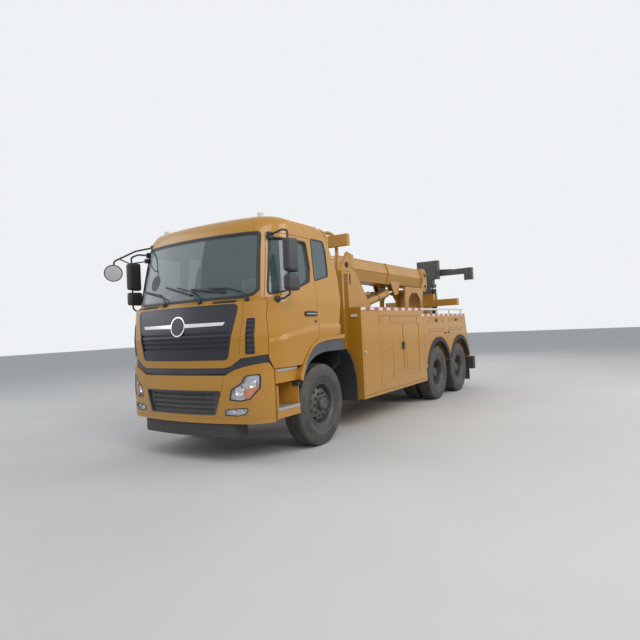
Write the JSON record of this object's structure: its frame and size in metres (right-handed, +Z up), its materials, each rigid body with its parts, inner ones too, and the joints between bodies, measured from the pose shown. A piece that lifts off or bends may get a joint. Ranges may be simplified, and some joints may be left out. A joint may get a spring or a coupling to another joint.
{
  "type": "tow truck",
  "caption": "Three-axle recovery truck with tilting cab, side lockers, luffing telescopic boom with winch, and a folding rear underlift.",
  "frame": {"origin": "on the ground, under the middle of the overall length and width", "axes": "+X to the vehicle's left, -Y to its front, +Z up"},
  "size_m": [2.93, 8.97, 3.17],
  "materials": {
    "body_yellow": "gloss",
    "boom_yellow": "satin",
    "glass": "clear, lightly tinted",
    "black_plastic": "satin",
    "chassis_steel": "satin",
    "underlift_grey": "satin",
    "engine_iron": "cast",
    "lamp_lens": "clear",
    "grey_fabric": "woven",
    "grey_plastic": "grained",
    "tyre_rubber": "matt",
    "twin_wheel_tyre": "matt",
    "wheel_grey": "satin",
    "rod_chrome": "polished",
    "rail_white": "gloss"
  },
  "bodies": {
    "chassis": {"chassis_frame": "chassis_steel", "engine_block": "engine_iron", "front_axle": "chassis_steel", "rear_bogie": "chassis_steel", "bumper": "body_yellow", "bumper_trim": "black_plastic", "front_lamps": "lamp_lens", "steps": "body_yellow", "mudguards": "black_plastic", "side_body_left": "body_yellow", "side_body_right": "body_yellow", "deck": "body_yellow", "side_rails": "rail_white", "headboard": "body_yellow", "mast": "body_yellow", "boom_rest": "body_yellow", "tail_bumper": "body_yellow", "underlift_column": "body_yellow", "underlift_rams": "chassis_steel"},
    "cab": {"cab_shell": "body_yellow", "cab_glass": "glass", "grille_panel": "black_plastic", "seats": "grey_fabric", "dashboard": "grey_plastic", "roof_lamps": "lamp_lens", "cab_trim": "black_plastic"},
    "door_left": {"door_left": "body_yellow", "door_glass_left": "glass", "mirror_left": "black_plastic"},
    "door_right": {"door_right": "body_yellow", "door_glass_right": "glass", "mirror_right": "black_plastic"},
    "knuckle_left": {"knuckle_left": "chassis_steel"},
    "knuckle_right": {"knuckle_right": "chassis_steel"},
    "front_wheel_left": {"tyre_front_left": "tyre_rubber", "wheel_front_left": "wheel_grey"},
    "front_wheel_right": {"tyre_front_right": "tyre_rubber", "wheel_front_right": "wheel_grey"},
    "middle_wheels_left": {"twin_wheel_middle_left": "twin_wheel_tyre"},
    "middle_wheels_right": {"twin_wheel_middle_right": "twin_wheel_tyre"},
    "rear_wheels_left": {"twin_wheel_rear_left": "twin_wheel_tyre"},
    "rear_wheels_right": {"twin_wheel_rear_right": "twin_wheel_tyre"},
    "locker_narrow_left": {"locker_narrow_left": "body_yellow"},
    "locker_narrow_right": {"locker_narrow_right": "body_yellow"},
    "locker_large_left": {"locker_large_left": "body_yellow"},
    "locker_large_right": {"locker_large_right": "body_yellow"},
    "locker_upper_front_left": {"locker_upper_front_left": "body_yellow"},
    "locker_upper_front_right": {"locker_upper_front_right": "body_yellow"},
    "locker_upper_rear_left": {"locker_upper_rear_left": "body_yellow"},
    "locker_upper_rear_right": {"locker_upper_rear_right": "body_yellow"},
    "boom": {"boom": "body_yellow"},
    "boom_stage": {"boom_stage": "boom_yellow"},
    "lift_barrels": {"lift_barrels": "chassis_steel"},
    "lift_rods": {"lift_rods": "rod_chrome"},
    "winch_drum": {"winch_drum": "chassis_steel"},
    "underlift_carriage": {"underlift_carriage": "underlift_grey"},
    "underlift_arm": {"underlift_arm": "underlift_grey"},
    "underlift_tip": {"underlift_tip": "underlift_grey"},
    "underlift_crossbar": {"underlift_crossbar": "underlift_grey", "fork_sockets": "underlift_grey"}
  },
  "joints": [
    {"name": "cab_tilt", "type": "hinge", "parent": "chassis", "child": "cab", "pos_m": [0, -4.405, 1.092], "axis": [1, 0, 0], "range_deg": [0, 50]},
    {"name": "door_left_swing", "type": "hinge", "parent": "cab", "child": "door_left", "pos_m": [1.165, -4.17, 1.5], "axis": [0, 0, -1], "range_deg": [0, 55]},
    {"name": "door_right_swing", "type": "hinge", "parent": "cab", "child": "door_right", "pos_m": [-1.165, -4.17, 1.5], "axis": [0, 0, 1], "range_deg": [0, 55]},
    {"name": "steer_left", "type": "hinge", "parent": "chassis", "child": "knuckle_left", "pos_m": [0.905, -3.08, 0.542], "axis": [0, 0, 1], "range_deg": [-30, 30]},
    {"name": "steer_right", "type": "hinge", "parent": "chassis", "child": "knuckle_right", "pos_m": [-0.905, -3.08, 0.542], "axis": [0, 0, 1], "range_deg": [-30, 30]},
    {"name": "front_wheel_left_spin", "type": "hinge", "parent": "knuckle_left", "child": "front_wheel_left", "pos_m": [1.043, -3.08, 0.542], "axis": [1, 0, 0], "continuous": true},
    {"name": "front_wheel_right_spin", "type": "hinge", "parent": "knuckle_right", "child": "front_wheel_right", "pos_m": [-1.043, -3.08, 0.542], "axis": [1, 0, 0], "continuous": true},
    {"name": "middle_wheels_left_spin", "type": "hinge", "parent": "chassis", "child": "middle_wheels_left", "pos_m": [0.9045, 1.27, 0.542], "axis": [1, 0, 0], "continuous": true},
    {"name": "middle_wheels_right_spin", "type": "hinge", "parent": "chassis", "child": "middle_wheels_right", "pos_m": [-0.9045, 1.27, 0.542], "axis": [1, 0, 0], "continuous": true},
    {"name": "rear_wheels_left_spin", "type": "hinge", "parent": "chassis", "child": "rear_wheels_left", "pos_m": [0.9045, 2.62, 0.542], "axis": [1, 0, 0], "continuous": true},
    {"name": "rear_wheels_right_spin", "type": "hinge", "parent": "chassis", "child": "rear_wheels_right", "pos_m": [-0.9045, 2.62, 0.542], "axis": [1, 0, 0], "continuous": true},
    {"name": "locker_narrow_left_swing", "type": "hinge", "parent": "chassis", "child": "locker_narrow_left", "pos_m": [1.25, -1.43, 1.1], "axis": [0, 0, 1], "range_deg": [0, 90]},
    {"name": "locker_large_left_lift", "type": "hinge", "parent": "chassis", "child": "locker_large_left", "pos_m": [1.25, -0.44, 1.705], "axis": [0, -1, 0], "range_deg": [0, 85]},
    {"name": "locker_upper_front_left_drop", "type": "hinge", "parent": "chassis", "child": "locker_upper_front_left", "pos_m": [1.25, 1.165, 1.37], "axis": [0, 1, 0], "range_deg": [0, 90]},
    {"name": "locker_upper_rear_left_drop", "type": "hinge", "parent": "chassis", "child": "locker_upper_rear_left", "pos_m": [1.25, 2.4, 1.37], "axis": [0, 1, 0], "range_deg": [0, 90]},
    {"name": "locker_narrow_right_swing", "type": "hinge", "parent": "chassis", "child": "locker_narrow_right", "pos_m": [-1.25, -1.43, 1.1], "axis": [0, 0, -1], "range_deg": [0, 90]},
    {"name": "locker_large_right_lift", "type": "hinge", "parent": "chassis", "child": "locker_large_right", "pos_m": [-1.25, -0.44, 1.705], "axis": [0, 1, 0], "range_deg": [0, 85]},
    {"name": "locker_upper_front_right_drop", "type": "hinge", "parent": "chassis", "child": "locker_upper_front_right", "pos_m": [-1.25, 1.165, 1.37], "axis": [0, -1, 0], "range_deg": [0, 90]},
    {"name": "locker_upper_rear_right_drop", "type": "hinge", "parent": "chassis", "child": "locker_upper_rear_right", "pos_m": [-1.25, 2.4, 1.37], "axis": [0, -1, 0], "range_deg": [0, 90]},
    {"name": "boom_lift", "type": "hinge", "parent": "chassis", "child": "boom", "pos_m": [0, -1.07, 2.626], "axis": [1, 0, 0], "range_deg": [0, 45]},
    {"name": "lift_barrels_swing", "type": "hinge", "parent": "chassis", "child": "lift_barrels", "pos_m": [0, -0.48, 1.83], "axis": [1, 0, 0], "range_deg": [-1, 46.5]},
    {"name": "lift_rods_slide", "type": "slide", "parent": "lift_barrels", "child": "lift_rods", "axis": [0, 0.974, 0.2266], "range_m": [0, 0.765]},
    {"name": "boom_extend", "type": "slide", "parent": "boom", "child": "boom_stage", "axis": [0, 1, 0], "range_m": [0, 0.52]},
    {"name": "winch_spin", "type": "hinge", "parent": "chassis", "child": "winch_drum", "pos_m": [0, 2.36, 1.48], "axis": [1, 0, 0], "continuous": true},
    {"name": "underlift_lower", "type": "slide", "parent": "chassis", "child": "underlift_carriage", "axis": [0, 0, -1], "range_m": [0, 0.3]},
    {"name": "underlift_fold", "type": "hinge", "parent": "underlift_carriage", "child": "underlift_arm", "pos_m": [0, 4.085, 0.7], "axis": [-1, 0, 0], "range_deg": [0, 90]},
    {"name": "underlift_extend", "type": "slide", "parent": "underlift_arm", "child": "underlift_tip", "axis": [0, 0, 1], "range_m": [0, 0.9]},
    {"name": "crossbar_swing", "type": "hinge", "parent": "underlift_tip", "child": "underlift_crossbar", "pos_m": [0, 4.41, 2.85], "axis": [0, 1, 0], "range_deg": [-25, 25]}
  ],
  "couplings": [
    {"joint": "steer_right", "follows": "steer_left", "ratio": 1},
    {"joint": "lift_barrels_swing", "follows": "boom_lift", "ratio": 1.007},
    {"joint": "lift_rods_slide", "follows": "boom_lift", "m_per_rad": 0.967}
  ]
}
